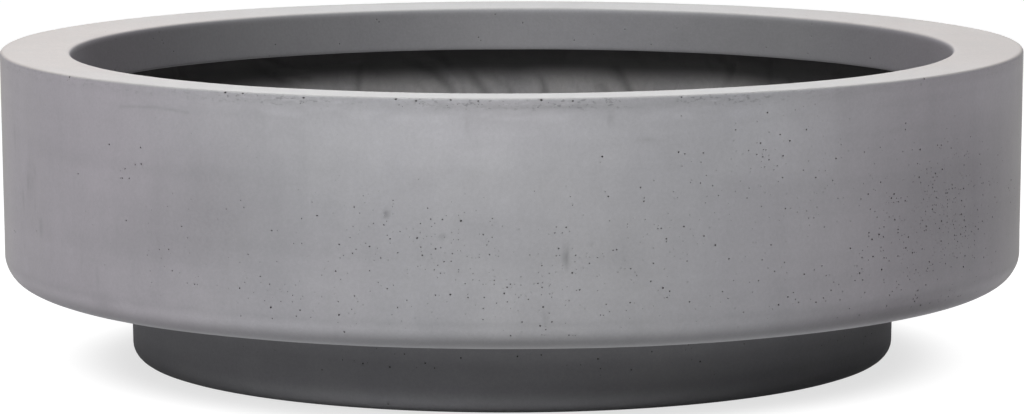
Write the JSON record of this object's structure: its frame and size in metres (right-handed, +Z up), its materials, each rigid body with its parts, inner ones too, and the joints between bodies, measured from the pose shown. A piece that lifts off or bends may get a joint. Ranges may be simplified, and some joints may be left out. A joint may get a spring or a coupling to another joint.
{
  "type": "bowl planter",
  "caption": "Low round cast-cement planter bowl with a wide flat return rim and a recessed plinth, with plugged drains and pads under it.",
  "frame": {"origin": "on the ground, at the middle of the bowl, level with the undersides of the foot pads", "axes": "+Z up along the bowl's axis of revolution; the drains stand on the diagonals of X and Y"},
  "size_m": [1, 1, 0.3069],
  "materials": {
    "cast_cement": "matte",
    "backing": "matte",
    "mortar": "matte",
    "sleeve_grey": "satin",
    "rubber_black": "matte"
  },
  "bodies": {
    "bowl": {"drum_shell": "cast_cement", "plinth_pan": "cast_cement", "mortar_bed": "mortar", "drum_backing": "backing", "floor_backing": "backing", "drain_sleeve_1": "sleeve_grey", "drain_sleeve_2": "sleeve_grey", "drain_sleeve_3": "sleeve_grey", "drain_sleeve_4": "sleeve_grey", "foot_pad_1": "rubber_black", "foot_pad_2": "rubber_black", "foot_pad_3": "rubber_black", "foot_pad_4": "rubber_black", "foot_pad_5": "rubber_black", "foot_pad_6": "rubber_black", "foot_pad_7": "rubber_black", "foot_pad_8": "rubber_black"},
    "plug_1": {"drain_plug_1": "rubber_black"},
    "plug_2": {"drain_plug_2": "rubber_black"},
    "plug_3": {"drain_plug_3": "rubber_black"},
    "plug_4": {"drain_plug_4": "rubber_black"}
  },
  "joints": [
    {"name": "plug_1_lift", "type": "slide", "parent": "bowl", "child": "plug_1", "axis": [0, 0, 1], "range_m": [0, 0.32]},
    {"name": "plug_2_lift", "type": "slide", "parent": "bowl", "child": "plug_2", "axis": [0, 0, 1], "range_m": [0, 0.32]},
    {"name": "plug_3_lift", "type": "slide", "parent": "bowl", "child": "plug_3", "axis": [0, 0, 1], "range_m": [0, 0.32]},
    {"name": "plug_4_lift", "type": "slide", "parent": "bowl", "child": "plug_4", "axis": [0, 0, 1], "range_m": [0, 0.32]}
  ]
}
